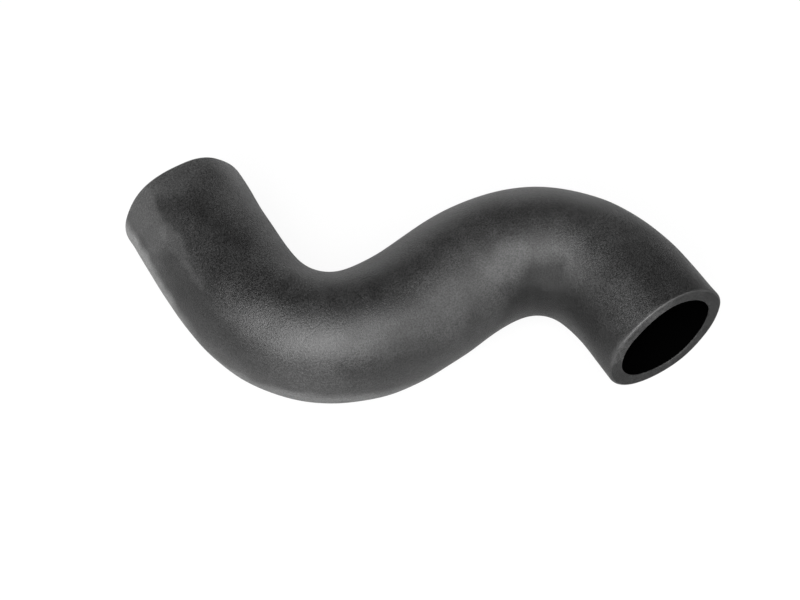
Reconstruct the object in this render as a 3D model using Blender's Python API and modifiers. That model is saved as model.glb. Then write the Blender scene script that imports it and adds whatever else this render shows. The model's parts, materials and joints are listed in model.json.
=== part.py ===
"""Vent hose: one S-shaped moulded rubber tube, open at both ends, lying on its side.

Metres, +Z up. The centreline is flat. The long arm opens towards +Y and the short arm
towards -Y. The origin is the middle of the hose's outline, at the height it lies on.
"""

import math

import bmesh
import bpy
import numpy as np

# Section
BORE_DIAMETER = 0.0250
WALL = 0.0036
RIM_ROUNDING = 0.0005

# Straight runs, from each mouth to its bend
LONG_RUN = 0.0202
SHORT_RUN = 0.0053

# Bends: the angle turned, and the tightest radius on the inside of the hose
LONG_BEND_ANGLE = math.radians(100.0)
LONG_BEND_INSIDE_RADIUS = 0.0072
SHORT_BEND_ANGLE = math.radians(100.0)
SHORT_BEND_INSIDE_RADIUS = 0.0061
# Share of a bend's length over which its curvature rises, and falls again at its other end
EASING = 0.39

# The hose is drawn in a little at its bends, by this much on the diameter
LONG_BEND_NECKING = 0.0012
SHORT_BEND_NECKING = 0.0003
# Where along the long bend it is narrowest, as a share of the bend's length
LONG_BEND_NECK_PLACE = 0.4
# Each end keeps its full diameter over this length
END_CUFF = 0.0030

# Mesh: sides round the hose, stations along it, steps for working out the centreline
SIDES = 36
STATIONS = 44
FINE_STEPS = 4000
RIM_SEGMENTS = 2

# Soot-black rubber with a dry surface
RUBBER_COLOUR = (0.033, 0.033, 0.033, 1.0)
RUBBER_ROUGHNESS = 0.62

OUTER_DIAMETER = BORE_DIAMETER + 2 * WALL
LONG_BEND_RADIUS = LONG_BEND_INSIDE_RADIUS + OUTER_DIAMETER / 2
SHORT_BEND_RADIUS = SHORT_BEND_INSIDE_RADIUS + OUTER_DIAMETER / 2
LONG_BEND_LENGTH = LONG_BEND_ANGLE * LONG_BEND_RADIUS / (1 - EASING)
SHORT_BEND_LENGTH = SHORT_BEND_ANGLE * SHORT_BEND_RADIUS / (1 - EASING)
LONG_BEND_START = LONG_RUN
MIDDLE = LONG_BEND_START + LONG_BEND_LENGTH
SHORT_BEND_END = MIDDLE + SHORT_BEND_LENGTH
HOSE_LENGTH = SHORT_BEND_END + SHORT_RUN


def clear_scene():
    for obj in list(bpy.data.objects):
        bpy.data.objects.remove(obj, do_unlink=True)


def running_sum(values, steps):
    """The area under the values, by trapezoids, from the start to each point."""
    slices = (values[1:] + values[:-1]) / 2 * steps
    return np.concatenate([[0.0], np.cumsum(slices)])


def centreline(stations):
    """Points of the centreline at these distances from the long arm's mouth.

    The curvature is zero on the straight runs and a trapezoid over each bend, with the
    long bend turning left and the short one right. Its running sum is the heading, and
    the running sums of the heading's cosine and sine are x and y.
    """
    knots = (
        0.0,
        LONG_BEND_START,
        LONG_BEND_START + EASING * LONG_BEND_LENGTH,
        MIDDLE - EASING * LONG_BEND_LENGTH,
        MIDDLE,
        MIDDLE + EASING * SHORT_BEND_LENGTH,
        SHORT_BEND_END - EASING * SHORT_BEND_LENGTH,
        SHORT_BEND_END,
        HOSE_LENGTH,
    )
    left = 1 / LONG_BEND_RADIUS
    right = -1 / SHORT_BEND_RADIUS
    distance = np.linspace(0.0, HOSE_LENGTH, FINE_STEPS)
    steps = np.diff(distance)
    curvature = np.interp(distance, knots, (0.0, 0.0, left, left, 0.0, right, right, 0.0, 0.0))
    heading = running_sum(curvature, steps) - math.pi / 2
    x = running_sum(np.cos(heading), steps)
    y = running_sum(np.sin(heading), steps)
    return np.column_stack([np.interp(stations, distance, x), np.interp(stations, distance, y)])


def diameter_shares(stations):
    """The diameter at each distance as a share of the full one, eased between its knots."""
    knots = (
        END_CUFF,
        LONG_BEND_START + LONG_BEND_NECK_PLACE * LONG_BEND_LENGTH,
        MIDDLE,
        MIDDLE + SHORT_BEND_LENGTH / 2,
        HOSE_LENGTH - END_CUFF,
    )
    long_neck = 1 - LONG_BEND_NECKING / OUTER_DIAMETER
    short_neck = 1 - SHORT_BEND_NECKING / OUTER_DIAMETER
    count = np.arange(len(knots))
    stage = np.interp(stations, knots, count)
    whole = np.floor(stage)
    part = stage - whole
    eased = whole + part * part * (3 - 2 * part)
    return np.interp(eased, count, (1.0, long_neck, 1.0, short_neck, 1.0))


def outer_tube():
    """The hose's outer surface as an open tube: a round bevel along the centreline."""
    inner_stations = np.linspace(END_CUFF, HOSE_LENGTH - END_CUFF, STATIONS)
    stations = np.concatenate([[0.0], inner_stations, [HOSE_LENGTH]])
    points = centreline(stations)
    curve = bpy.data.curves.new("hose_route", "CURVE")
    curve.dimensions = "3D"
    curve.twist_mode = "Z_UP"
    curve.bevel_depth = OUTER_DIAMETER / 2
    curve.bevel_resolution = SIDES // 2 - 2
    curve.use_fill_caps = False
    spline = curve.splines.new("POLY")
    spline.points.add(len(points) - 1)
    for point, place, share in zip(spline.points, points, diameter_shares(stations)):
        point.co = (*place, 0.0, 1.0)
        point.radius = share
    return bpy.data.objects.new("hose_route", curve)


def hose_mesh(route):
    """The tube as a mesh with its doubles merged and its faces pointing out."""
    graph = bpy.context.evaluated_depsgraph_get()
    mesh = bpy.data.meshes.new_from_object(route.evaluated_get(graph))
    mesh.name = "hose"
    work = bmesh.new()
    work.from_mesh(mesh)
    bmesh.ops.remove_doubles(work, verts=work.verts, dist=1e-6)
    bmesh.ops.recalc_face_normals(work, faces=work.faces)
    work.to_mesh(mesh)
    work.free()
    return mesh


def add_wall(hose):
    solidify = hose.modifiers.new("wall", "SOLIDIFY")
    solidify.thickness = WALL
    solidify.offset = -1.0
    solidify.use_even_offset = True
    bevel = hose.modifiers.new("rims", "BEVEL")
    bevel.limit_method = "ANGLE"
    bevel.angle_limit = math.radians(50.0)
    bevel.width = RIM_ROUNDING
    bevel.segments = RIM_SEGMENTS
    bevel.use_clamp_overlap = True


def rubber():
    material = bpy.data.materials.new("moulded_black_rubber")
    material.use_nodes = True
    shader = material.node_tree.nodes["Principled BSDF"]
    shader.inputs["Base Color"].default_value = RUBBER_COLOUR
    shader.inputs["Roughness"].default_value = RUBBER_ROUGHNESS
    shader.inputs["Metallic"].default_value = 0.0
    return material


def place_on_ground(hose):
    """Moves the hose so that the middle of its outline lies at the origin, and its underside at z 0."""
    corners = np.array([vertex.co for vertex in hose.data.vertices])
    low = corners.min(axis=0)
    high = corners.max(axis=0)
    middle = (low + high) / 2
    hose.location = (-middle[0], -middle[1], -low[2])


def make_hose(collection):
    route = outer_tube()
    collection.objects.link(route)
    bpy.context.view_layer.update()
    hose = bpy.data.objects.new("hose", hose_mesh(route))
    hose.matrix_world = route.matrix_world
    bpy.data.objects.remove(route, do_unlink=True)
    collection.objects.link(hose)
    hose.data.materials.clear()
    hose.data.materials.append(rubber())
    place_on_ground(hose)
    add_wall(hose)
    hose.data.shade_smooth()
    hose.data.set_sharp_from_angle(angle=math.radians(50.0))
    return hose


def main():
    clear_scene()
    collection = bpy.data.collections.new("vent_hose")
    bpy.context.scene.collection.children.link(collection)
    make_hose(collection)


main()
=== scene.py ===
"""Dressing for a vent hose: the moulded rubber tube with its finish, and a white studio floor.

The hose lies flat, so its centreline has one height. A place on it is given as the distance
along it from the long arm's mouth, and the angle round it from the outer side of the long
arm, over the top.
"""

import json
import math
from typing import NamedTuple

import bpy
import numpy as np
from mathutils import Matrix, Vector


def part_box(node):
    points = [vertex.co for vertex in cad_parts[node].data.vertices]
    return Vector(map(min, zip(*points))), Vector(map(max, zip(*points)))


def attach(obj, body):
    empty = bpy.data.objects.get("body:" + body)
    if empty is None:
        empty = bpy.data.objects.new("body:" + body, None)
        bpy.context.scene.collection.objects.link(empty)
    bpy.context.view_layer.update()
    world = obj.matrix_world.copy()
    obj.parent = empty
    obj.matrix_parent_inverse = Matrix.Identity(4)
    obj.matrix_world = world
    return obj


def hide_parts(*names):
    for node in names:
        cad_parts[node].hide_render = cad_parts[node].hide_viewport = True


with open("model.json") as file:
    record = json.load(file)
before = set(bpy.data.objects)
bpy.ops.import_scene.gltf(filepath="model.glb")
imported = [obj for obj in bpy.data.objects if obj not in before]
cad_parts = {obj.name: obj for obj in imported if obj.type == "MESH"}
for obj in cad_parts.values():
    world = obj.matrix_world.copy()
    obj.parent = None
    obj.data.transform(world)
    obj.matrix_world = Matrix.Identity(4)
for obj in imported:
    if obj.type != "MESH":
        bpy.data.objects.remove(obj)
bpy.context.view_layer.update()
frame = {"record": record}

bl_info = {
    "name": "Vent Hose",
    "version": (1, 0, 0),
    "blender": (4, 5, 0),
    "location": "3D View > Sidebar > Vent Hose",
    "description": "A moulded rubber vent hose on a white studio floor",
    "category": "Add Mesh",
}

HOSE_LOW, HOSE_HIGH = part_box("hose")
LONG_MOUTH = next(m for m in frame["record"]["mounts"] if m["name"] == "long_arm_end_face")

MILLIMETRE = 0.001
# What a texture's Scale has to be for a pattern of one millimetre
PER_MILLIMETRE = 1000.0
WHITE = "#ffffff"


class Cut(NamedTuple):
    """How a mouth's cut differs from a flat one: how far it stands out, how much further on the
    side that it leans to, and that side's angle. Metres and degrees."""

    out: float
    lean: float
    side: float


class Waves(NamedTuple):
    """Slow waves through space: how many cosines they are the sum of, the shortest and longest
    wavelength in metres, and the seed of their draw."""

    count: int
    shortest: float
    longest: float
    seed: int


class Oval(NamedTuple):
    """An oval on the unrolled skin: its middle along and around the hose, its half length and half
    width, and the width that its edge fades over. Millimetres, and degrees around."""

    along: float
    around: float
    half_length: float
    half_width: float
    edge: float


class Patch(NamedTuple):
    """What lies on an oval of skin: a pale layer, partly dusting and partly painted highlight and
    reflection; the share of the pale film taken off, which is painted shade; and how much rougher
    the skin is rubbed."""

    place: Oval
    # A pale layer: partly dust, partly painted highlight and reflection
    dust_and_painted_light: float = 0.0
    # The share of the film taken off: painted shade
    wiped: float = 0.0
    rubbed: float = 0.0


class Dent(NamedTuple):
    """An oval of skin that is drawn in by a depth in millimetres, or out where it is negative."""

    place: Oval
    depth: float


# The mesh's zones, in the order of its materials
SKIN, CUT, BORE = range(3)
# Rows of the wall's section: along the skin, along the bore, across a cut face, round an edge
SKIN_ROWS, BORE_ROWS, FACE_ROWS, EDGE_ROWS = 310, 120, 6, 7
# Columns round the hose
COLUMNS = 168

# Each mouth's outer edge: the side where it is most worn, and how closely the wear keeps to it
LONG_WORN_SIDE, LONG_WORN_POWER = math.radians(158.0), 3
SHORT_WORN_SIDE, SHORT_WORN_POWER = math.radians(-110.0), 1

# Each mouth's cut, and the waver of the knife
LONG_CUT = Cut(0.00010, 0.00022, 124)
SHORT_CUT = Cut(0.00028, 0.00020, -50)
KNIFE_WAVES = Waves(12, 0.008, 0.030, seed=3)
# Distance from a mouth over which the waver fades out
WAVER_REACH = 0.004
# Distance over which a cut's lean fades out, and how steeply
LEAN_REACH = 0.020
LEAN_POWER = 2

# The skin's slow waves, and how closely they leave out the line that the hose rests on
SKIN_WAVES = Waves(60, 0.010, 0.050, seed=5)
REST_POWER = 8

DENTS = (
    # The long arm's inner side, beside its bend
    Dent(Oval(18, 150, 10, 9, 14), 0.30),
    # The long mouth's upper corner
    Dent(Oval(0, 114, 6, 4, 6), -0.30),
    # The inside of the short bend
    Dent(Oval(115, -17, 13, 6, 12), 0.20),
)

PATCHES = (
    # Paler skin down the long arm's outer flank, with a wavy upper edge
    Patch(Oval(4, 40, 15, 4.8, 1.2), dust_and_painted_light=0.05),
    Patch(Oval(4, 30, 14, 7.5, 5.0), dust_and_painted_light=0.06),
    Patch(Oval(19, 51, 7, 2.3, 1.2), dust_and_painted_light=0.07),
    Patch(Oval(28, 49, 5, 0.7, 1.0), dust_and_painted_light=0.04),
    # Painted reflection of the lit floor: pale dust along the hose's lower flank, thickest near the floor
    Patch(Oval(6, -2, 22, 4.5, 4.5), dust_and_painted_light=0.65),
    Patch(Oval(52, -18, 15, 3.5, 4.0), dust_and_painted_light=0.35),
    Patch(Oval(42, -2, 52, 8.0, 8.0), dust_and_painted_light=0.05),
    Patch(Oval(40, 0, 8, 3.0, 3.0), dust_and_painted_light=0.06),
    Patch(Oval(137, -14, 12, 4.0, 4.0), dust_and_painted_light=0.04),
    # Lighter skin near the long mouth
    Patch(Oval(0, 80, 8, 8.0, 5.0), dust_and_painted_light=0.08),
    Patch(Oval(8, 126, 14, 5.0, 6.0), dust_and_painted_light=0.03),
    # Painted highlight and reflection: pale dust on and around the bends' highlights, that brightens and
    # stretches them
    Patch(Oval(56, 14, 4, 6.0, 3.0), dust_and_painted_light=0.04),
    Patch(Oval(44, 50, 5, 3.5, 4.0), dust_and_painted_light=0.03),
    Patch(Oval(54, 48, 9, 4.0, 4.0), dust_and_painted_light=0.02),
    Patch(Oval(70, 38, 6, 2.0, 3.0), dust_and_painted_light=0.03),
    Patch(Oval(86, 45, 10, 11.0, 8.0), dust_and_painted_light=0.04),
    Patch(Oval(95, 76, 14, 3.0, 5.0), dust_and_painted_light=0.03),
    Patch(Oval(122, 88, 11, 3.0, 4.0), dust_and_painted_light=0.02),
    Patch(Oval(101, 52, 8, 4.5, 4.0), dust_and_painted_light=0.10),
    # Dust on the short mouth's cut face
    Patch(Oval(156, 45, 1.0, 11.0, 1.0), dust_and_painted_light=0.10),
    # Painted shade: the pale film is taken off beside the pale patches and at the edges of the highlights,
    # where the reflections are darker
    Patch(Oval(34, 31, 11, 4.0, 5.0), wiped=0.7),
    Patch(Oval(68, 14, 5, 4.5, 5.0), wiped=0.6),
    Patch(Oval(72, 108, 10, 4.0, 5.0), wiped=0.5),
    Patch(Oval(57, 69, 18, 2.4, 4.0), wiped=0.6),
    Patch(Oval(151, 98, 9, 7.0, 6.0), wiped=0.6),
    # Painted shade inside the short bend: the pale film is taken off there, and the skin is rubbed rougher
    # to dim the bend's highlight
    Patch(Oval(121, 56, 10, 3.2, 4.0), wiped=0.15, rubbed=0.11),
    Patch(Oval(117, 24, 16, 5.5, 4.5), wiped=0.9),
    Patch(Oval(118, 36, 15, 3.6, 4.5), rubbed=0.42),
    Patch(Oval(108, 37, 5, 2.8, 1.5), wiped=0.6, rubbed=0.1),
    Patch(Oval(112, -8, 20, 9.6, 4.0), wiped=0.9),
    Patch(Oval(131, 18, 22, 5.6, 4.0), wiped=0.9),
)
# How far a patch's edge strays, in millimetres, and the waves that it strays by
PATCH_STRAY = 0.35
STRAY_WAVES = Waves(40, 0.004, 0.016, seed=11)

# Half width of the pale line along a mouth's edge
WEAR_WIDTH = 0.00018
# How far below the outer edge the line is palest, as a share of its half width
WEAR_CREST = 0.6
# How pale the line is on the bore's edge, as a share of the outer edge's
BORE_EDGE_WEAR = 0.7
# The line's strength round the hose: its level, its swing, and the waves that it swings by
WEAR_LEVEL, WEAR_SWING = 0.3, 0.4
WEAR_WAVES = Waves(30, 0.003, 0.02, seed=21)
# How pale the line is at each mouth
LONG_MOUTH_WEAR, SHORT_MOUTH_WEAR = 0.1, 0.12

# Widths of the moulded skin's clouds and dimples, in millimetres
CLOUD_WIDTH, DIMPLE_WIDTH = 6, 2.6
# Width of its grain. The real one, under 0.1 mm, is too fine to show, so it is drawn coarser
GRAIN_WIDTH = 0.4
# The noise's values in the thinnest and thickest clouds
CLOUD_LOW, CLOUD_HIGH = 0.3, 0.7
# The noise's values in the darkest and palest grains
GRAIN_LOW, GRAIN_HIGH = 0.39, 0.61
# The pale film: in the thinnest and thickest clouds, and the part that the painted shade leaves
THIN_FILM, THICK_FILM, LASTING_FILM = 0.007, 0.053, 0.027
# How much of the film, against its average, the darkest and palest grains hold
FILM_ON_DARK, FILM_ON_PALE = 0.2, 1.8
# How much of the pale layer, dust and painted light, they hold
PATCH_ON_DARK, PATCH_ON_PALE = 0.7, 1.3
# How much film and pale layer, dust and painted light, make a full coat, and the roughness
# without it and under it
FULL_COAT = 0.7
BARE_ROUGHNESS, COATED_ROUGHNESS = 0.28, 0.44
# Depths of the dimples and the grain, and how much of the dimples' slope shows
DIMPLE_DEPTH, GRAIN_DEPTH = 0.00004, 0.00012
DIMPLE_STRENGTH = 0.5

# Width of a cut face's clouds, in millimetres
CUT_CLOUD_WIDTH = 3
# Width of its tears. The real ones are too fine to show, so they are drawn coarser
TEAR_WIDTH = 0.5
# Dust all over a cut face, and how much of it its thinnest and thickest clouds hold
CUT_DUST = 0.04
THIN_CUT_CLOUD, THICK_CUT_CLOUD = 0.5, 1.5
# The noise's values in the darkest and palest tears, and how much dust the palest hold
TEAR_LOW, TEAR_HIGH = 0.38, 0.62
PALEST_TEAR = 2.0
TEAR_DEPTH = 0.0002
CUT_ROUGHNESS = 0.65

# The point at half the hose's height that the camera and the lamps face
AIM_X, AIM_Y = -0.0081, -0.0055
# The camera's sensor width in millimetres, and the nearest that it sees
CAMERA_SENSOR = 36.0
CAMERA_NEAREST = 0.01
# The side towards which the floor's bounce colour turns paler, and where this starts and ends:
# painted light behind the hose, standing in for the pale wall's light there
PALE_FLOOR_SIDE = math.radians(165)
PALE_FLOOR_START, PALE_FLOOR_END = 0.045, 0.095
# The share of the floor's white that a shadow dims
SHADED_SHARE = 0.1
# The side that the pale wall stands on, and how high it rises
WALL_SIDE, WALL_TOP = math.radians(-148), math.radians(30)
# How steeply the wall darkens upwards, and how softly it ends at its left and right
WALL_POWER = 2.0
WALL_EDGE = 0.3


def linear(code):
    """An sRGB hex colour as the linear values that shaders take, with full alpha."""
    shares = (int(code[i : i + 2], 16) / 255 for i in (1, 3, 5))
    return (*(s / 12.92 if s <= 0.04045 else ((s + 0.055) / 1.055) ** 2.4 for s in shares), 1.0)


def length(name, description, default):
    return bpy.props.FloatProperty(
        name=name, description=description, default=default, min=0.0, unit="LENGTH", precision=5
    )


def angle(name, description, degrees):
    return bpy.props.FloatProperty(
        name=name, description=description, default=math.radians(degrees), subtype="ANGLE"
    )


def share(name, description, default):
    return bpy.props.FloatProperty(name=name, description=description, default=default, min=0.0)


def colour(name, description, code):
    return bpy.props.FloatVectorProperty(
        name=name,
        description=description,
        default=linear(code),
        size=4,
        min=0.0,
        max=1.0,
        subtype="COLOR",
    )


class VentHoseShape(bpy.types.PropertyGroup):
    """Sizes of the hose."""

    outer_diameter: length("Outer Diameter", "Across the hose at its ends", HOSE_HIGH.z - HOSE_LOW.z)
    bore_diameter: length("Bore", "Inside diameter at its ends", 0.0250)
    long_run: length("Long Run", "Straight length at the long arm's mouth", 0.0202)
    short_run: length("Short Run", "Straight length at the short arm's mouth", 0.0053)
    long_bend: angle("Long Bend", "Angle that the long arm's bend turns through", 100.0)
    short_bend: angle("Short Bend", "Angle that the short arm's bend turns through", 100.0)
    long_inside_radius: length("Long Inside Radius", "Tightest radius inside the long bend", 0.0072)
    short_inside_radius: length("Short Inside Radius", "Tightest radius inside the short bend", 0.0061)
    easing: share("Easing", "Share of a bend over which its curvature rises, and falls again", 0.39)
    long_necking: length("Long Necking", "How much narrower the hose is in the long bend", 0.0013)
    middle_necking: length("Middle Necking", "How much narrower it is between the bends", 0.0002)
    short_necking: length("Short Necking", "How much narrower the hose is in the short bend", 0.0003)
    neck_place: share("Neck Place", "Where the long bend is narrowest, as a share of it", 0.4)
    end_cuff: length("End Cuff", "Length at each end that keeps its full diameter", 0.0030)
    crisp_edge: length("Crisp Edge", "Radius of a mouth's outer edge where it is sharpest", 0.0004)
    worn_edge: length("Worn Edge", "Radius of a mouth's outer edge where it is most worn", 0.0008)
    bore_edge: length("Bore Edge", "Radius of the bore's edge at a mouth", 0.0003)
    off_centre: share("Off Centre", "How much thinner the wall is above, as a share of it", 0.04)
    unevenness: length("Unevenness", "Height of the skin's slow waves", 0.00008)
    cut_waver: length("Cut Waver", "How far the knife strayed from a flat cut", 0.00014)


class VentHoseFinish(bpy.types.PropertyGroup):
    """Colours of the hose."""

    rubber: colour("Rubber", "Carbon-black rubber, wiped clean", "#060606")
    bloom: colour("Bloom", "Pale film on the aged rubber", "#909090")
    cut: colour("Cut Face", "Rubber where a knife has cut it", "#040404")
    scuff: colour("Scuff", "Rubber rubbed pale along the mouths' edges", "#808080")
    # Darker than the skin's rubber: painted shade for the inside of the bore
    bore: colour("Bore", "Rubber inside the bore", "#020202")


class VentHoseStudio(bpy.types.PropertyGroup):
    """The camera, the floor and the lamps."""

    camera_turn: angle("Camera Turn", "Angle of the camera round the hose, from -Y", -30.32)
    camera_rise: angle("Camera Rise", "Angle of the camera above the floor", 55.0)
    camera_distance: length("Camera Distance", "From the camera to the point it looks at", 0.3564)
    camera_lens: share("Camera Lens", "Focal length in millimetres, on a 36 mm sensor", 66.6)
    floor_size: length("Floor Size", "Side of the floor", 6.0)
    # The floor's bounce colours; the paler one behind the hose is painted light
    near_floor: colour("Near Floor", "The floor as it lights the hose, in front of it", "#999999")
    far_floor: colour("Far Floor", "The floor as it lights the hose, behind it", "#d8d8d8")
    key_turn: angle("Key Turn", "Angle of the key lamp round the hose, from -Y", -48.0)
    key_rise: angle("Key Rise", "Angle of the key lamp above the floor", 45.5)
    key_distance: length("Key Distance", "From the key lamp to the hose", 0.5)
    key_width: length("Key Width", "Width of the key lamp", 0.40)
    key_height: length("Key Height", "Height of the key lamp", 0.52)
    key: share("Key Power", "Power of the tall lamp beside the camera, in watts", 4.9)
    fill_turn: angle("Fill Turn", "Angle of the fill lamp round the hose, from -Y", 36.0)
    fill_rise: angle("Fill Rise", "Angle of the fill lamp above the floor", 36.0)
    fill_distance: length("Fill Distance", "From the fill lamp to the hose", 0.9)
    fill_size: length("Fill Size", "Side of the fill lamp", 1.12)
    fill: share("Fill Power", "Power of the square lamp at the short arm's side, in watts", 8.3)
    wall: share("Back Wall", "Brightness of the pale wall behind the hose", 2.4)
    ceiling: share("Ceiling", "Brightness of the rest of the room", 0.03)


def eased(part):
    """A share that rises from 0 to 1 with a level start and a level end."""
    return part * part * (3 - 2 * part)


def running_sum(values, steps):
    """The area under the values, by trapezoids, from the start to each point."""
    slices = (values[1:] + values[:-1]) / 2 * steps
    return np.concatenate([[0.0], np.cumsum(slices)])


class Centreline:
    """The hose's flat centreline.

    Its curvature is zero on the straight runs and a trapezoid over each bend. The running
    sum of the curvature is the heading, and those of the heading's cosine and sine are x
    and y, starting from the long arm's mouth.
    """

    FINE_STEPS = 4000

    def __init__(self, shape):
        self.outer = shape.outer_diameter / 2
        long_radius = shape.long_inside_radius + self.outer
        short_radius = shape.short_inside_radius + self.outer
        long_length = shape.long_bend * long_radius / (1 - shape.easing)
        short_length = shape.short_bend * short_radius / (1 - shape.easing)
        self.middle = shape.long_run + long_length
        bend_end = self.middle + short_length
        self.length = bend_end + shape.short_run
        knots = (
            0.0,
            shape.long_run,
            shape.long_run + shape.easing * long_length,
            self.middle - shape.easing * long_length,
            self.middle,
            self.middle + shape.easing * short_length,
            bend_end - shape.easing * short_length,
            bend_end,
            self.length,
        )
        left = 1 / long_radius
        right = -1 / short_radius
        self.distance = np.linspace(0.0, self.length, self.FINE_STEPS)
        steps = np.diff(self.distance)
        bends = np.interp(self.distance, knots, (0.0, 0.0, left, left, 0.0, right, right, 0.0, 0.0))
        self.heading = running_sum(bends, steps) - math.pi / 2
        start_x, start_y, _ = LONG_MOUTH["pos_m"]
        self.x = running_sum(np.cos(self.heading), steps) + start_x
        self.y = running_sum(np.sin(self.heading), steps) + start_y
        self.neck_knots = (
            shape.end_cuff,
            shape.long_run + shape.neck_place * long_length,
            self.middle,
            self.middle + short_length / 2,
            self.length - shape.end_cuff,
        )
        necks = [0.0, shape.long_necking, shape.middle_necking, shape.short_necking, 0.0]
        self.radii = self.outer - np.array(necks) / 2

    def at(self, along):
        """Points on the centreline, and the level direction to the hose's side there. It runs
        straight on beyond the mouths."""
        x, y, heading = (np.interp(along, self.distance, v) for v in (self.x, self.y, self.heading))
        beyond = along - np.clip(along, 0.0, self.length)
        x = x + beyond * np.cos(heading)
        y = y + beyond * np.sin(heading)
        points = np.stack([x, y, np.full_like(x, self.outer)], axis=-1)
        sides = np.stack([np.sin(heading), -np.cos(heading), np.zeros_like(x)], axis=-1)
        return points, sides

    def radius(self, along):
        """The outside radius, eased between the cuffs, the necks and the middle."""
        count = np.arange(len(self.neck_knots))
        stage = np.interp(along, self.neck_knots, count)
        whole = np.floor(stage)
        return np.interp(whole + eased(stage - whole), count, self.radii)

    def out_from(self, along, around, radius):
        """Points at a radius from the centreline: level at angle 0, and up at a quarter turn."""
        centres, sides = self.at(along)
        up = np.array([0.0, 0.0, 1.0])
        out = np.cos(around)[..., None] * sides + np.sin(around)[..., None] * up
        return centres + np.asarray(radius)[..., None] * out

    def to_mouth(self, along):
        """The distance to the nearer mouth."""
        return np.minimum(along, self.length - along)


def soft_waves(points, waves):
    """Slow waves through space, with a spread of one: a sum of cosines, each along a direction
    of its own, with a wavelength drawn between the shortest and the longest."""
    draw = np.random.default_rng(waves.seed)
    ways = draw.normal(size=(3, waves.count))
    ways /= np.linalg.norm(ways, axis=0)
    lengths = np.exp(draw.uniform(math.log(waves.shortest), math.log(waves.longest), waves.count))
    phases = draw.uniform(0.0, math.tau, waves.count)
    total = np.zeros(points.shape[:-1])
    for way, wavelength, phase in zip(ways.T, lengths, phases):
        total += np.cos(points @ way * (math.tau / wavelength) + phase)
    return total / math.sqrt(waves.count / 2)


def within(oval, line, along, around, stray=0.0):
    """How far inside an oval each place is: one within it, a half on its outline, and eased to
    zero across its edge."""
    ahead = (along / MILLIMETRE - oval.along) / oval.half_length
    turned = np.angle(np.exp(1j * (around - math.radians(oval.around))))
    apart = turned * (line.outer / MILLIMETRE) / oval.half_width
    depth = (1 - np.hypot(ahead, apart)) * min(oval.half_length, oval.half_width) + stray
    return eased(np.clip(depth / oval.edge + 0.5, 0.0, 1.0))


def edge_radius(shape, around, worn_side, power):
    """A mouth's outer edge radius: a power of a cosine round the hose, from crisp to worn."""
    worn = ((1 + np.cos(around - worn_side)) / 2) ** power
    return shape.crisp_edge + (shape.worn_edge - shape.crisp_edge) * worn


def mouth_section(outer, inner, wall):
    """A mouth from the skin to the bore, as depths below its end plane and below the skin: a
    quarter circle round the outer edge, a flat face, and a quarter circle round the bore's."""
    quarter = np.linspace(0.0, math.pi / 2, EDGE_ROWS)[:, None]
    face = np.linspace(outer, wall - inner, FACE_ROWS + 2)[1:-1]
    from_end = [outer * (1 - np.sin(quarter)), np.zeros_like(face), inner * (1 - np.cos(quarter))]
    from_skin = [outer * (1 - np.cos(quarter)), face, wall - inner * (1 - np.sin(quarter))]
    return np.concatenate(from_end), np.concatenate(from_skin)


def wall_section(line, shape, around):
    """The wall cut lengthwise at each of these angles: places along the hose and depths below
    its skin, with a row for each step of a closed loop, and each row's zone.

    The loop runs out along the skin, round the short arm's mouth to the bore, back along
    the bore, and round the long arm's mouth to where it started.
    """
    wall = (line.outer - shape.bore_diameter / 2) * (1 - shape.off_centre * np.sin(around))
    long_outer = edge_radius(shape, around, LONG_WORN_SIDE, LONG_WORN_POWER)
    short_outer = edge_radius(shape, around, SHORT_WORN_SIDE, SHORT_WORN_POWER)
    inner = np.full_like(around, shape.bore_edge)
    long_end, long_skin = mouth_section(long_outer, inner, wall)
    short_end, short_skin = mouth_section(short_outer, inner, wall)
    skin = np.linspace(long_outer, line.length - short_outer, SKIN_ROWS + 2)[1:-1]
    bore = np.linspace(line.length - inner, inner, BORE_ROWS + 2)[1:-1]
    along = np.concatenate([skin, line.length - short_end, bore, long_end[::-1]])
    deep = np.broadcast_to(wall, bore.shape)
    below = np.concatenate([np.zeros_like(skin), short_skin, deep, long_skin[::-1]])
    mouth = [SKIN] * EDGE_ROWS + [CUT] * (FACE_ROWS + EDGE_ROWS)
    zones = [SKIN] * (SKIN_ROWS - 1) + mouth + [BORE] * (BORE_ROWS + 1) + mouth[:0:-1] + [SKIN]
    return along, below, np.array(zones)


def hose_surface(line, shape):
    """The hose's whole surface as a function of two parameters: the place along the wall's
    section, and the angle round the centreline. A point lies at the section's radius from
    the centreline, level at angle 0 and up at a quarter turn. The skin swells and sinks in
    slow waves, which die out at the mouths and where the hose lies on its floor."""
    around = np.linspace(0.0, math.tau, COLUMNS, endpoint=False)
    along, below, zones = wall_section(line, shape, around)
    around = np.broadcast_to(around, along.shape)
    even = line.out_from(along, around, line.outer)
    near_mouth = np.clip(1 - line.to_mouth(along) / WAVER_REACH, 0.0, 1.0)
    waver = shape.cut_waver * soft_waves(even, KNIFE_WAVES) * near_mouth
    for cut, outward, distance in ((LONG_CUT, -1, along), (SHORT_CUT, 1, line.length - along)):
        fade = np.clip(1 - distance / LEAN_REACH, 0.0, 1.0) ** LEAN_POWER
        waver += outward * fade * (cut.out + cut.lean * np.cos(around - math.radians(cut.side)))
    resting = ((1 - np.sin(around)) / 2) ** REST_POWER
    calm = np.clip(line.to_mouth(along) / shape.end_cuff, 0.0, 1.0) * (1 - resting)
    calm *= 1 - below / below.max()
    waves = soft_waves(even, SKIN_WAVES) * calm
    radius = line.radius(along) - below + shape.unevenness * waves
    for dent in DENTS:
        radius -= dent.depth * MILLIMETRE * within(dent.place, line, along, around)
    points = line.out_from(along + waver, around, radius)
    return points, along, around, below, zones


def straightened(line, along, around):
    """Where each point would be if the hose were straight, so that a pattern follows its skin."""
    return np.stack([line.outer * np.cos(around), line.outer * np.sin(around), along], axis=-1)


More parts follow.
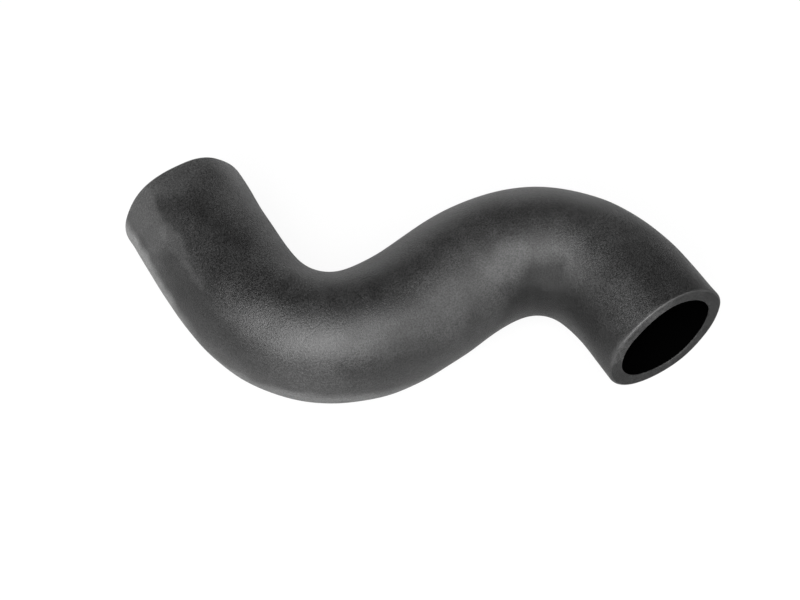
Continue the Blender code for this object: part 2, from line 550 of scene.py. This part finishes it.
def skin_patches(line, along, around):
    """The pale layer of dusting and painted light, the share of pale film that the painted shade
    leaves, and the rubbed roughness at each point, from the patches. The patches' edges are drawn
    out of true by soft waves."""
    stray = PATCH_STRAY * soft_waves(straightened(line, along, around), STRAY_WAVES)
    dust_and_painted_light = np.zeros(along.shape)
    unshaded_film = np.ones(along.shape)
    rubbed = np.zeros(along.shape)
    for patch in PATCHES:
        inside = within(patch.place, line, along, around, stray)
        dust_and_painted_light += patch.dust_and_painted_light * inside
        # Painted shade: the pale film is taken off inside these patches
        unshaded_film *= 1 - patch.wiped * inside
        rubbed += patch.rubbed * inside
    return {"dust_and_painted_light": dust_and_painted_light, "unshaded_film": unshaded_film, "rubbed": rubbed}


def edge_wear(line, along, around, below):
    """How far the mouths' edges are rubbed pale: a bell curve across each edge, more and less
    round the hose by soft waves."""
    wall = below.max(axis=0)
    deep = line.to_mouth(along)
    outer = np.exp(-((deep + below) / WEAR_WIDTH - WEAR_CREST) ** 2 / 2)
    inner = np.exp(-((deep + wall - below) / WEAR_WIDTH) ** 2 / 2)
    across = np.clip(outer + BORE_EDGE_WEAR * inner, 0.0, 1.0)
    waves = soft_waves(straightened(line, along, around), WEAR_WAVES)
    round_it = np.clip(WEAR_LEVEL + WEAR_SWING * waves, 0.0, 1.0)
    most = np.where(along < line.middle, LONG_MOUTH_WEAR, SHORT_MOUTH_WEAR)
    return across * round_it * most


def wrap_uv(rows, columns):
    """Each face corner's place on the unrolled hose: its share of the way round, then of the
    way along the wall's section."""
    round_it = np.arange(columns + 1) / columns
    along_it = np.arange(rows + 1) / rows
    u = np.stack([round_it[:-1], round_it[1:], round_it[1:], round_it[:-1]], axis=-1)
    v = np.stack([along_it[:-1], along_it[:-1], along_it[1:], along_it[1:]], axis=-1)
    return np.stack(np.broadcast_arrays(u[None, :, :], v[:, None, :]), axis=-1)


def grid_mesh(name, points, zones, attributes, uv):
    """A mesh from a grid of points that closes on itself both ways, with its faces out."""
    rows, columns = points.shape[:2]
    mesh = bpy.data.meshes.new(name)
    mesh.vertices.add(rows * columns)
    mesh.vertices.foreach_set("co", points.astype(np.float32).ravel())
    index = np.arange(rows * columns).reshape(rows, columns)
    right = np.roll(index, -1, axis=1)
    above = np.roll(index, -1, axis=0)
    corners = np.stack([index, right, np.roll(right, -1, axis=0), above], axis=-1)
    mesh.loops.add(corners.size)
    mesh.loops.foreach_set("vertex_index", corners.ravel().astype(np.int32))
    mesh.polygons.add(rows * columns)
    mesh.polygons.foreach_set("loop_start", np.arange(0, corners.size, 4, dtype=np.int32))
    mesh.polygons.foreach_set("material_index", np.repeat(zones, columns).astype(np.int32))
    mesh.update(calc_edges=True)
    layer = mesh.uv_layers.new(name="hose_wrap")
    layer.data.foreach_set("uv", uv.astype(np.float32).ravel())
    for title, values in attributes.items():
        kind, field = ("FLOAT", "value") if values.ndim == 2 else ("FLOAT_VECTOR", "vector")
        attribute = mesh.attributes.new(title, kind, "POINT")
        attribute.data.foreach_set(field, values.astype(np.float32).ravel())
    mesh.shade_smooth()
    mesh.validate()
    return mesh


def add_node(tree, kind, inputs=(), **settings):
    """Adds a node with its settings, and links or sets each of its named inputs."""
    node = tree.nodes.new(kind)
    for name, value in settings.items():
        setattr(node, name, value)
    for socket, value in dict(inputs).items():
        if isinstance(value, bpy.types.NodeSocket):
            tree.links.new(value, node.inputs[socket])
        else:
            node.inputs[socket].default_value = value
    return node


def new_material(name):
    material = bpy.data.materials.new(name)
    material.use_nodes = True
    material.node_tree.nodes.clear()
    return material, material.node_tree


def moulded_skin(finish):
    """Moulded EPDM rubber, cured on a former: dry black, with a fine matte grain that spreads the
    light, and a cloudy pale film.

    The film is cloudy where the painted shade leaves it, and the grain breaks it and the pale
    layer into specks. The pale layer is partly dusting and partly painted highlight and reflection;
    where the film is taken off, that is painted shade. Film and the pale layer make the rubber
    paler and duller.
    """
    material, tree = new_material("moulded_epdm_rubber")
    place = add_node(tree, "ShaderNodeTexCoord").outputs["Object"]
    straight = add_node(tree, "ShaderNodeAttribute", attribute_name="straight").outputs["Vector"]
    dust_and_painted_light, unshaded_film, rubbed, wear = (
        add_node(tree, "ShaderNodeAttribute", attribute_name=name).outputs["Fac"]
        for name in ("dust_and_painted_light", "unshaded_film", "rubbed", "wear")
    )
    cloud = add_node(
        tree,
        "ShaderNodeTexNoise",
        {"Vector": straight, "Scale": PER_MILLIMETRE / CLOUD_WIDTH, "Detail": 4.0, "Roughness": 0.55},
    )
    grain = add_node(
        tree,
        "ShaderNodeTexNoise",
        {"Vector": place, "Scale": PER_MILLIMETRE / GRAIN_WIDTH, "Detail": 2.0, "Roughness": 1.0},
    )
    clouded = add_node(
        tree,
        "ShaderNodeMapRange",
        {
            "Value": cloud.outputs["Fac"],
            "From Min": CLOUD_LOW,
            "From Max": CLOUD_HIGH,
            "To Min": THIN_FILM,
            "To Max": THICK_FILM,
        },
        clamp=False,
    )
    # The clouded film, less where painted shade takes it off, over a film that always stays
    film = add_node(
        tree,
        "ShaderNodeMath",
        {0: clouded.outputs["Result"], 1: unshaded_film, 2: LASTING_FILM},
        operation="MULTIPLY_ADD",
    )
    speckled = add_node(
        tree,
        "ShaderNodeMapRange",
        {
            "Value": grain.outputs["Fac"],
            "From Min": GRAIN_LOW,
            "From Max": GRAIN_HIGH,
            "To Min": FILM_ON_DARK,
            "To Max": FILM_ON_PALE,
        },
    )
    specks = add_node(
        tree,
        "ShaderNodeMath",
        {0: film.outputs["Value"], 1: speckled.outputs["Result"]},
        operation="MULTIPLY",
    )
    # The pale layer, dust and painted light, broken into specks by the grain
    patch_speckle = add_node(
        tree,
        "ShaderNodeMapRange",
        {
            "Value": grain.outputs["Fac"],
            "From Min": GRAIN_LOW,
            "From Max": GRAIN_HIGH,
            "To Min": PATCH_ON_DARK,
            "To Max": PATCH_ON_PALE,
        },
    )
    grained = add_node(
        tree,
        "ShaderNodeMath",
        {0: dust_and_painted_light, 1: patch_speckle.outputs["Result"], 2: specks.outputs["Value"]},
        operation="MULTIPLY_ADD",
        use_clamp=True,
    )
    tint = add_node(
        tree,
        "ShaderNodeMix",
        {"Factor": grained.outputs["Value"], "A": finish.rubber, "B": finish.bloom},
        data_type="RGBA",
    )
    scuffed = add_node(
        tree,
        "ShaderNodeMix",
        {"Factor": wear, "A": tint.outputs["Result"], "B": finish.scuff},
        data_type="RGBA",
    )
    coat = add_node(tree, "ShaderNodeMath", {0: film.outputs["Value"], 1: dust_and_painted_light}, operation="ADD")
    dulled = add_node(
        tree,
        "ShaderNodeMapRange",
        {
            "Value": coat.outputs["Value"],
            "From Min": 0.0,
            "From Max": FULL_COAT,
            "To Min": BARE_ROUGHNESS,
            "To Max": COATED_ROUGHNESS,
        },
    )
    roughness = add_node(tree, "ShaderNodeMath", {0: dulled.outputs["Result"], 1: rubbed}, operation="ADD")
    dimples = add_node(
        tree,
        "ShaderNodeTexNoise",
        {"Vector": place, "Scale": PER_MILLIMETRE / DIMPLE_WIDTH, "Detail": 2.0, "Roughness": 0.5},
    )
    dimpled = add_node(
        tree,
        "ShaderNodeBump",
        {"Height": dimples.outputs["Fac"], "Strength": DIMPLE_STRENGTH, "Distance": DIMPLE_DEPTH},
    )
    bump = add_node(
        tree,
        "ShaderNodeBump",
        {
            "Height": grain.outputs["Fac"],
            "Strength": 1.0,
            "Distance": GRAIN_DEPTH,
            "Normal": dimpled.outputs["Normal"],
        },
    )
    shader = add_node(
        tree,
        "ShaderNodeBsdfPrincipled",
        {
            "Base Color": scuffed.outputs["Result"],
            "Roughness": roughness.outputs["Value"],
            "Normal": bump.outputs["Normal"],
            "Sheen Weight": 0.03,
            "Sheen Roughness": 0.3,
        },
    )
    add_node(tree, "ShaderNodeOutputMaterial", {"Surface": shader.outputs["BSDF"]})
    return material


def knife_cut(finish):
    """Rubber cut with a knife after curing: dry, cloudy and slightly torn, with some dust, and
    rubbed pale along its edges."""
    material, tree = new_material("knife_cut_rubber")
    place = add_node(tree, "ShaderNodeTexCoord").outputs["Object"]
    wear = add_node(tree, "ShaderNodeAttribute", attribute_name="wear").outputs["Fac"]
    dust_and_painted_light = add_node(tree, "ShaderNodeAttribute", attribute_name="dust_and_painted_light").outputs["Fac"]
    tears = add_node(
        tree,
        "ShaderNodeTexNoise",
        {"Vector": place, "Scale": PER_MILLIMETRE / TEAR_WIDTH, "Detail": 2.0, "Roughness": 1.0},
    )
    cloud = add_node(
        tree,
        "ShaderNodeTexNoise",
        {"Vector": place, "Scale": PER_MILLIMETRE / CUT_CLOUD_WIDTH, "Detail": 3.0},
    )
    clouded = add_node(
        tree,
        "ShaderNodeMapRange",
        {
            "Value": cloud.outputs["Fac"],
            "From Min": CLOUD_LOW,
            "From Max": CLOUD_HIGH,
            "To Min": THIN_CUT_CLOUD,
            "To Max": THICK_CUT_CLOUD,
        },
        clamp=False,
    )
    torn = add_node(
        tree,
        "ShaderNodeMapRange",
        {
            "Value": tears.outputs["Fac"],
            "From Min": TEAR_LOW,
            "From Max": TEAR_HIGH,
            "To Min": 0.0,
            "To Max": PALEST_TEAR,
        },
    )
    # Dust all over the cut, plus the skin's pale layer of dust and painted light where it reaches
    cut_pale_share = add_node(tree, "ShaderNodeMath", {0: dust_and_painted_light, 1: CUT_DUST}, operation="ADD")
    film = add_node(
        tree,
        "ShaderNodeMath",
        {0: cut_pale_share.outputs["Value"], 1: clouded.outputs["Result"]},
        operation="MULTIPLY",
        use_clamp=True,
    )
    grained = add_node(
        tree,
        "ShaderNodeMath",
        {0: film.outputs["Value"], 1: torn.outputs["Result"]},
        operation="MULTIPLY",
        use_clamp=True,
    )
    tint = add_node(
        tree,
        "ShaderNodeMix",
        {"Factor": grained.outputs["Value"], "A": finish.cut, "B": finish.bloom},
        data_type="RGBA",
    )
    scuffed = add_node(
        tree,
        "ShaderNodeMix",
        {"Factor": wear, "A": tint.outputs["Result"], "B": finish.scuff},
        data_type="RGBA",
    )
    bump = add_node(
        tree,
        "ShaderNodeBump",
        {"Height": tears.outputs["Fac"], "Strength": 1.0, "Distance": TEAR_DEPTH},
    )
    shader = add_node(
        tree,
        "ShaderNodeBsdfPrincipled",
        {
            "Base Color": scuffed.outputs["Result"],
            "Roughness": CUT_ROUGHNESS,
            "Normal": bump.outputs["Normal"],
        },
    )
    add_node(tree, "ShaderNodeOutputMaterial", {"Surface": shader.outputs["BSDF"]})
    return material


def dark_bore(finish):
    """The bore's wall: the same black rubber, painted darker and without gloss as shade inside
    the bore, so that it keeps almost no light.
    """
    material, tree = new_material("painted_shade_bore_rubber")
    shader = add_node(
        tree,
        "ShaderNodeBsdfPrincipled",
        {"Base Color": finish.bore, "Roughness": 1.0, "Specular IOR Level": 0.0},
    )
    add_node(tree, "ShaderNodeOutputMaterial", {"Surface": shader.outputs["BSDF"]})
    return material


class VENTHOSE_OT_hose(bpy.types.Operator):
    """Make the moulded rubber hose"""

    bl_idname = "vent_hose.hose"
    bl_label = "Hose"

    def execute(self, context):
        shape = context.scene.vent_hose_shape
        finish = context.scene.vent_hose_finish
        line = Centreline(shape)
        points, along, around, below, zones = hose_surface(line, shape)
        attributes = {
            "straight": straightened(line, along, around),
            "wear": edge_wear(line, along, around, below),
            **skin_patches(line, along, around),
        }
        mesh = grid_mesh("moulded_hose", points, zones, attributes, wrap_uv(*along.shape))
        for material in (moulded_skin(finish), knife_cut(finish), dark_bore(finish)):
            mesh.materials.append(material)
        hose = bpy.data.objects.new("moulded_hose", mesh)
        context.scene.collection.objects.link(hose)
        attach(hose, "root")
        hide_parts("hose")
        return {"FINISHED"}


def toward(turn, rise):
    """The direction from the hose at this turn from -Y and this rise above the floor."""
    level = math.cos(rise)
    return Vector((math.sin(turn) * level, -math.cos(turn) * level, math.sin(rise)))


def floor_card(studio):
    """White studio card. To the camera it glows evenly, and the hose's shadow dims it. The light
    that it throws on the hose is that of grey card, painted paler behind the hose as light from
    the pale wall."""
    material, tree = new_material("white_studio_card")
    seen = add_node(tree, "ShaderNodeLightPath").outputs["Is Camera Ray"]
    place = add_node(tree, "ShaderNodeTexCoord").outputs["Object"]
    away = add_node(
        tree,
        "ShaderNodeVectorMath",
        {0: place, 1: toward(PALE_FLOOR_SIDE, 0.0)},
        operation="DOT_PRODUCT",
    )
    behind = add_node(
        tree,
        "ShaderNodeMapRange",
        {"Value": away.outputs["Value"], "From Min": PALE_FLOOR_START, "From Max": PALE_FLOOR_END},
        interpolation_type="SMOOTHSTEP",
    )
    shade = add_node(
        tree,
        "ShaderNodeMix",
        {"Factor": behind.outputs["Result"], "A": studio.near_floor, "B": studio.far_floor},
        data_type="RGBA",
    )
    card = add_node(tree, "ShaderNodeBsdfDiffuse", {"Color": shade.outputs["Result"]})
    shaded = add_node(tree, "ShaderNodeBsdfDiffuse", {"Color": linear(WHITE)})
    glow = add_node(tree, "ShaderNodeEmission", {"Color": linear(WHITE), "Strength": 1.0})
    white = add_node(
        tree,
        "ShaderNodeMixShader",
        {0: SHADED_SHARE, 1: glow.outputs["Emission"], 2: shaded.outputs["BSDF"]},
    )
    surface = add_node(
        tree, "ShaderNodeMixShader", {0: seen, 1: card.outputs["BSDF"], 2: white.outputs["Shader"]}
    )
    add_node(tree, "ShaderNodeOutputMaterial", {"Surface": surface.outputs["Shader"]})
    return material


def white_floor(context, studio):
    """A square floor with its middle under the hose."""
    half = studio.floor_size / 2
    mesh = bpy.data.meshes.new("floor")
    corners = [(-half, -half, 0), (half, -half, 0), (half, half, 0), (-half, half, 0)]
    mesh.from_pydata(corners, [], [(0, 1, 2, 3)])
    mesh.materials.append(floor_card(studio))
    floor = bpy.data.objects.new("floor", mesh)
    context.scene.collection.objects.link(floor)


def pale_room(context, studio):
    """The room's light: a pale wall stands behind the hose to a low height, and the rest is dark.
    The wall is brightest at the floor, darkens upwards by a power of the height that is left,
    and fades at its left and right. The camera sees white."""
    world = bpy.data.worlds.new("pale_room")
    world.use_nodes = True
    tree = world.node_tree
    tree.nodes.clear()
    way = add_node(tree, "ShaderNodeTexCoord").outputs["Generated"]
    height = add_node(tree, "ShaderNodeSeparateXYZ", {"Vector": way}).outputs["Z"]
    low = add_node(
        tree,
        "ShaderNodeMapRange",
        {"Value": height, "From Min": math.sin(WALL_TOP), "From Max": 0.0, "To Min": 0.0, "To Max": 1.0},
    )
    steep = add_node(tree, "ShaderNodeMath", {0: low.outputs["Result"], 1: WALL_POWER}, operation="POWER")
    facing = add_node(
        tree, "ShaderNodeVectorMath", {0: way, 1: toward(WALL_SIDE, 0.0)}, operation="DOT_PRODUCT"
    )
    behind = add_node(
        tree,
        "ShaderNodeMapRange",
        {"Value": facing.outputs["Value"], "From Min": 0.0, "From Max": WALL_EDGE},
        interpolation_type="SMOOTHSTEP",
    )
    glow = add_node(
        tree,
        "ShaderNodeMath",
        {0: steep.outputs["Value"], 1: behind.outputs["Result"]},
        operation="MULTIPLY",
    )
    strength = add_node(
        tree,
        "ShaderNodeMath",
        {0: glow.outputs["Value"], 1: studio.wall, 2: studio.ceiling},
        operation="MULTIPLY_ADD",
    )
    seen = add_node(tree, "ShaderNodeLightPath").outputs["Is Camera Ray"]
    soft = add_node(
        tree, "ShaderNodeBackground", {"Color": linear(WHITE), "Strength": strength.outputs["Value"]}
    )
    white = add_node(tree, "ShaderNodeBackground", {"Color": linear(WHITE), "Strength": 1.0})
    surface = add_node(
        tree,
        "ShaderNodeMixShader",
        {0: seen, 1: soft.outputs["Background"], 2: white.outputs["Background"]},
    )
    add_node(tree, "ShaderNodeOutputWorld", {"Surface": surface.outputs["Shader"]})
    context.scene.world = world


def soft_lamp(context, name, target, way, distance, width, height, power):
    """A rectangular lamp at a distance from a target, facing it, and unseen by the camera."""
    lamp = bpy.data.lights.new(name, "AREA")
    lamp.shape = "RECTANGLE"
    lamp.size = width
    lamp.size_y = height
    lamp.energy = power
    holder = bpy.data.objects.new(name, lamp)
    holder.location = target + way * distance
    holder.rotation_euler = way.to_track_quat("Z", "Y").to_euler()
    holder.visible_camera = False
    context.scene.collection.objects.link(holder)


def studio_camera(context, studio, target):
    """The camera at its distance from a target, facing it."""
    camera = bpy.data.cameras.new("camera")
    camera.lens = studio.camera_lens
    camera.sensor_width = CAMERA_SENSOR
    camera.clip_start = CAMERA_NEAREST
    way = toward(studio.camera_turn, studio.camera_rise)
    holder = bpy.data.objects.new("camera", camera)
    holder.location = target + way * studio.camera_distance
    holder.rotation_euler = way.to_track_quat("Z", "Y").to_euler()
    context.scene.collection.objects.link(holder)
    return holder


class VENTHOSE_OT_stage(bpy.types.Operator):
    """Set up the floor, the lamps and the camera"""

    bl_idname = "vent_hose.stage"
    bl_label = "Stage"

    def execute(self, context):
        studio = context.scene.vent_hose_studio
        target = Vector((AIM_X, AIM_Y, HOSE_HIGH.z / 2))
        white_floor(context, studio)
        pale_room(context, studio)
        soft_lamp(
            context,
            "key_lamp",
            target,
            toward(studio.key_turn, studio.key_rise),
            studio.key_distance,
            studio.key_width,
            studio.key_height,
            studio.key,
        )
        soft_lamp(
            context,
            "fill_lamp",
            target,
            toward(studio.fill_turn, studio.fill_rise),
            studio.fill_distance,
            studio.fill_size,
            studio.fill_size,
            studio.fill,
        )
        bpy.context.scene.camera = studio_camera(context, studio, target)
        context.scene.view_settings.view_transform = "Standard"
        return {"FINISHED"}


class VENTHOSE_PT_panel(bpy.types.Panel):
    """Lists the hose's operators"""

    bl_idname = "VENTHOSE_PT_panel"
    bl_label = "Vent Hose"
    bl_space_type = "VIEW_3D"
    bl_region_type = "UI"
    bl_category = "Vent Hose"

    def draw(self, context):
        for settings in ("vent_hose_shape", "vent_hose_finish", "vent_hose_studio"):
            group = getattr(context.scene, settings)
            box = self.layout.box()
            for name in group.__annotations__:
                box.prop(group, name)
        for operator in (VENTHOSE_OT_hose, VENTHOSE_OT_stage):
            self.layout.operator(operator.bl_idname)


CLASSES = (
    VentHoseShape,
    VentHoseFinish,
    VentHoseStudio,
    VENTHOSE_OT_hose,
    VENTHOSE_OT_stage,
    VENTHOSE_PT_panel,
)


def register():
    for cls in CLASSES:
        bpy.utils.register_class(cls)
    bpy.types.Scene.vent_hose_shape = bpy.props.PointerProperty(type=VentHoseShape)
    bpy.types.Scene.vent_hose_finish = bpy.props.PointerProperty(type=VentHoseFinish)
    bpy.types.Scene.vent_hose_studio = bpy.props.PointerProperty(type=VentHoseStudio)


def unregister():
    del bpy.types.Scene.vent_hose_studio
    del bpy.types.Scene.vent_hose_finish
    del bpy.types.Scene.vent_hose_shape
    for cls in reversed(CLASSES):
        bpy.utils.unregister_class(cls)


def main():
    register()
    bpy.ops.vent_hose.hose()
    bpy.ops.vent_hose.stage()


if __name__ == "__main__":
    main()
